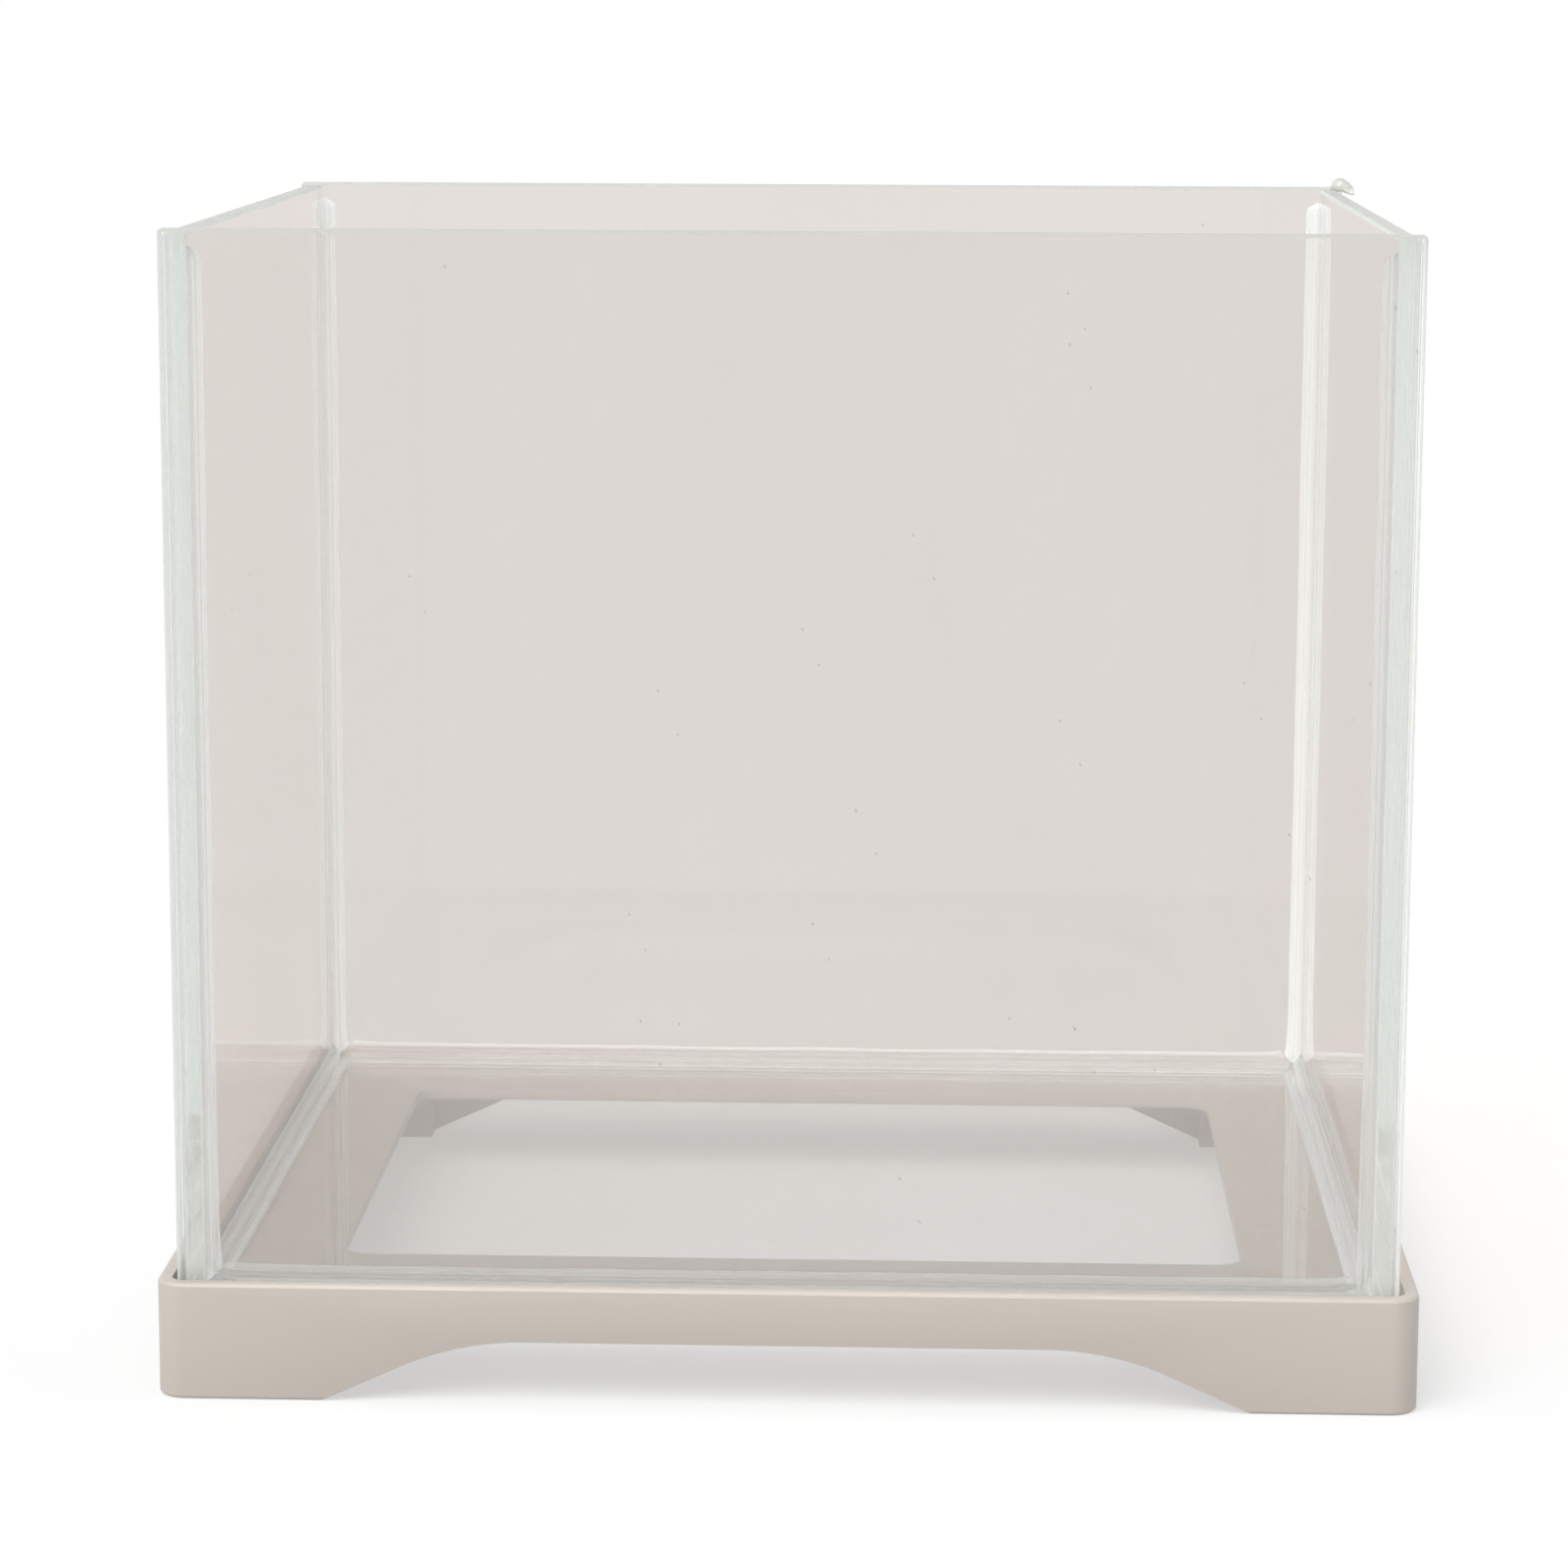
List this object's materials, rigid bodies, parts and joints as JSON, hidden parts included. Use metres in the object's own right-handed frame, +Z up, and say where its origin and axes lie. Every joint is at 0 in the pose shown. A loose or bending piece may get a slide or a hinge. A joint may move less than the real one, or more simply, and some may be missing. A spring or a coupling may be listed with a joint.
{
  "type": "glass tank on a plastic base",
  "caption": "Open-topped clear glass tank with silicone seams, standing loose in a low plastic base with corner feet, arches and a window under the floor.",
  "frame": {"origin": "centre of the base's outline, on the plane that its feet stand on", "axes": "+X along the width, +Y from the front pane to the rear pane, +Z up"},
  "size_m": [0.217, 0.1826, 0.2025],
  "materials": {
    "base_plastic": "satin moulded, warm light grey",
    "pane_glass": "polished low-iron float glass, edges ground to a small arris, faint green in the edges",
    "clear_silicone": "translucent whitish, tooled smooth with small bubbles"
  },
  "bodies": {
    "base": {"base_frame": "base_plastic"},
    "tank": {"front_pane": "pane_glass", "rear_pane": "pane_glass", "left_pane": "pane_glass", "right_pane": "pane_glass", "bottom_pane": "pane_glass", "bond_front_left": "clear_silicone", "bond_front_right": "clear_silicone", "bond_rear_left": "clear_silicone", "bond_rear_right": "clear_silicone", "bond_floor_front": "clear_silicone", "bond_floor_rear": "clear_silicone", "bond_floor_left": "clear_silicone", "bond_floor_right": "clear_silicone", "bead_front_left": "clear_silicone", "bead_front_right": "clear_silicone", "bead_rear_left": "clear_silicone", "bead_rear_right": "clear_silicone", "bead_floor_front": "clear_silicone", "bead_floor_rear": "clear_silicone", "bead_floor_left": "clear_silicone", "bead_floor_right": "clear_silicone"}
  },
  "joints": [
    {"name": "tank_lift", "type": "slide", "parent": "base", "child": "tank", "axis": [0, 0, 1], "range_m": [0, 0.06]}
  ]
}
